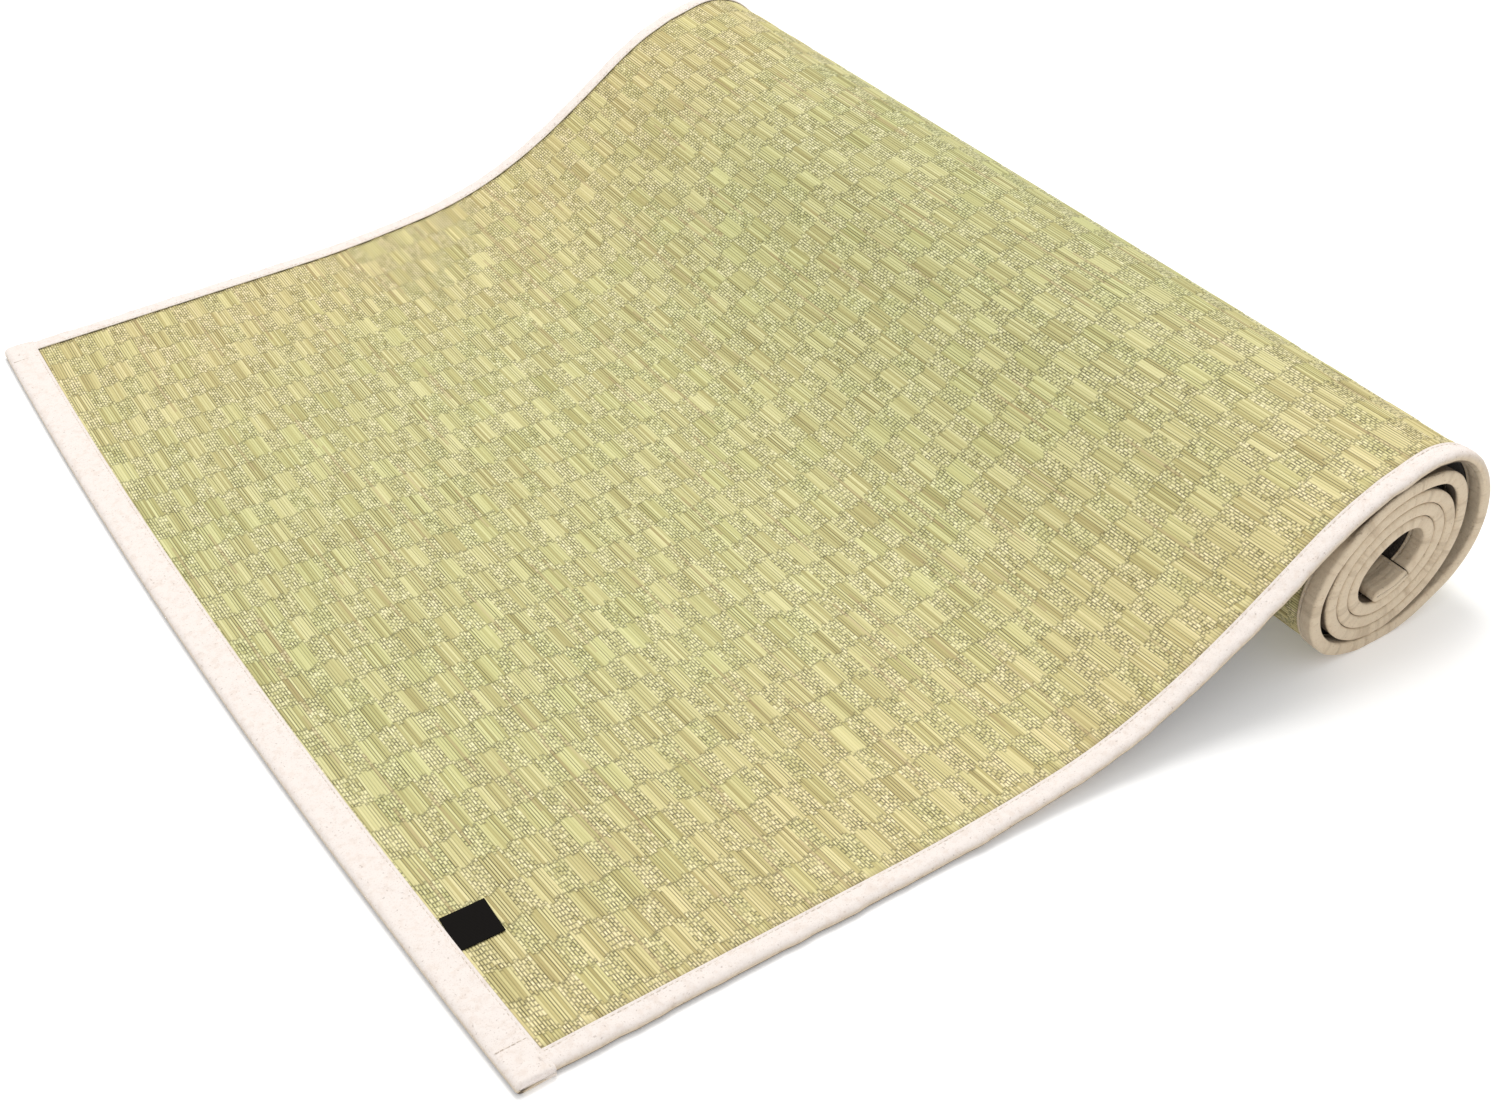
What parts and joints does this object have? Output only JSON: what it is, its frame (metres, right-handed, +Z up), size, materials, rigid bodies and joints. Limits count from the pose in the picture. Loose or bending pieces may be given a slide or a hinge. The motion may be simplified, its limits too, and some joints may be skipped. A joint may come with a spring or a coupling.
{
  "type": "tatami mat",
  "caption": "Woven rush floor mat with folded cloth edge bindings, one end lying flat and the rest rising over and wound into a loose roll with the rush face outward.",
  "frame": {"origin": "on the floor, under the middle of the whole mat as it lies", "axes": "+X from the flat end towards the roll, Y along the roll and across the mat's width, +Z up"},
  "size_m": [0.52, 0.61, 0.096],
  "materials": {
    "rush": "pale green rush, checker float weave on stippled ground, slightly glossy straws",
    "underlay": "dark matte felted cloth",
    "binding": "soft cream flecked cloth with a stitch line near its lip",
    "tab": "bare black woven tape"
  },
  "bodies": {
    "root": {"rush_face": "rush", "backing": "underlay", "side_binding_near": "binding", "side_binding_far": "binding", "end_binding_outer": "binding", "end_binding_core": "binding", "label_tab": "tab"}
  },
  "joints": []
}
